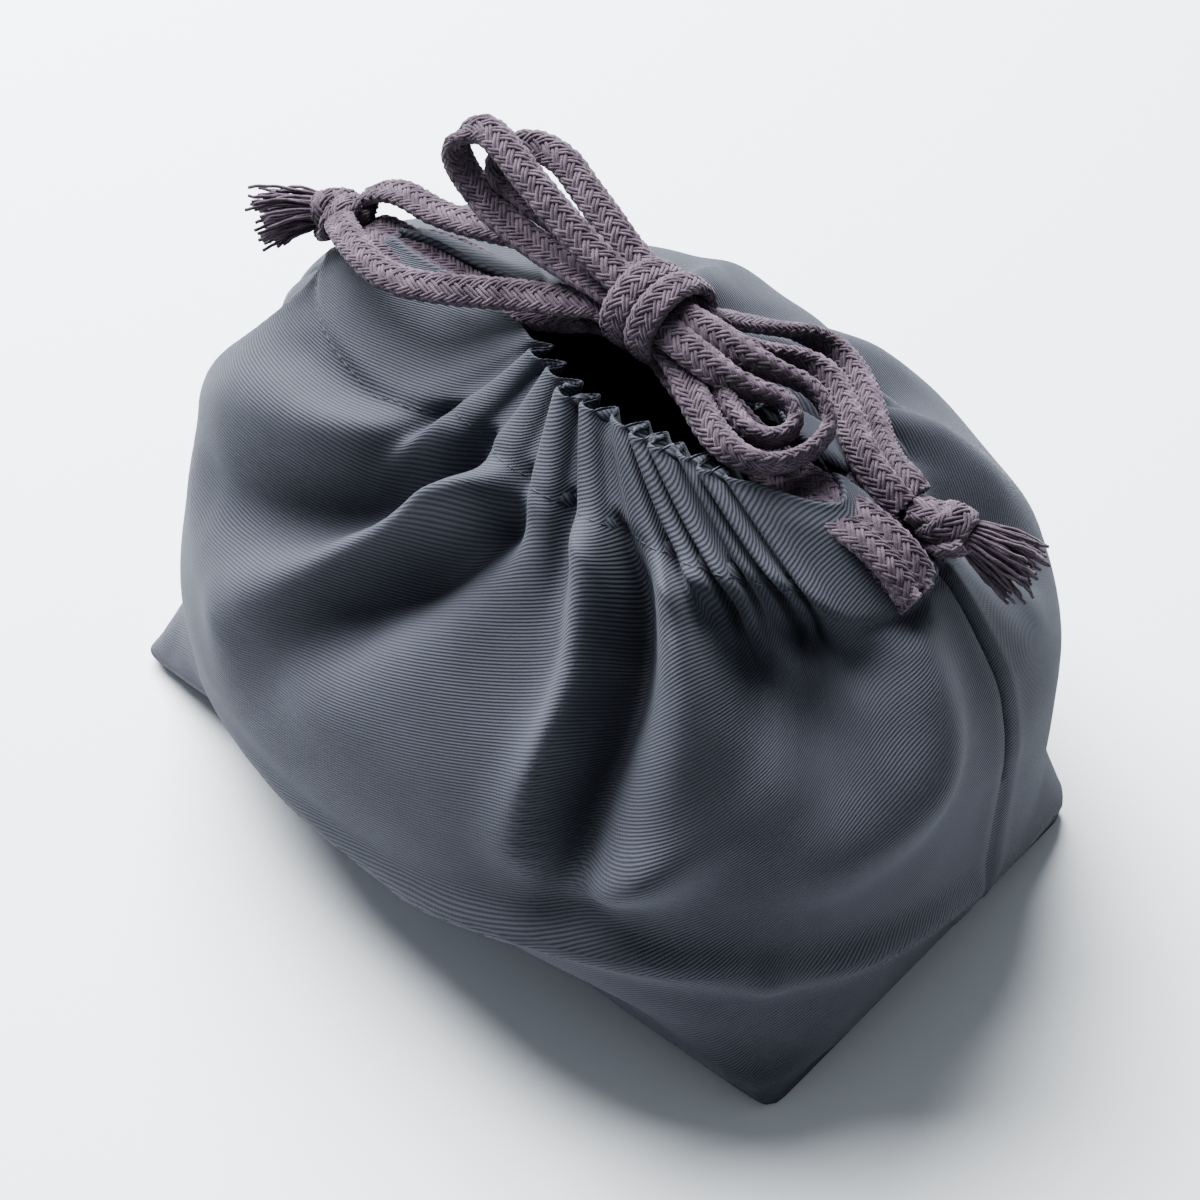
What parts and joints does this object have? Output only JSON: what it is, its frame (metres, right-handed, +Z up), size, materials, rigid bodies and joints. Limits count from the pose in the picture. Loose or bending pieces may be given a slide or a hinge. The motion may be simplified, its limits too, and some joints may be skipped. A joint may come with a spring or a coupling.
{
  "type": "kinchaku drawstring pouch",
  "caption": "Soft cloth pouch with a boxed rectangular base, a gathered casing mouth, and doubled braided drawcords tied in a bow with frayed end knots.",
  "frame": {"origin": "centre of the flat rectangular base, on the surface that the pouch stands on", "axes": "+X along the mouth and the base's long side, from the left vent to the right vent; +Y from the front to the back; +Z up"},
  "size_m": [0.211, 0.1645, 0.1578],
  "materials": {
    "twill": "dark slate cotton twill with a fine diagonal wale, matt",
    "braid": "mauve-grey flat cotton braid, fuzzy and matt"
  },
  "bodies": {
    "root": {"pouch_body": "twill", "left_cord_in_casing": "braid", "right_cord_in_casing": "braid", "left_lead_a": "braid", "left_lead_b": "braid", "left_loop_a": "braid", "left_loop_b": "braid", "left_tail_a": "braid", "left_tail_b": "braid", "right_lead_a": "braid", "right_lead_b": "braid", "right_loop_a": "braid", "right_loop_b": "braid", "right_tail_a": "braid", "right_tail_b": "braid", "bow_knot": "braid", "left_end_knot": "braid", "right_end_knot": "braid", "left_tassel": "braid", "right_tassel": "braid"}
  },
  "joints": []
}
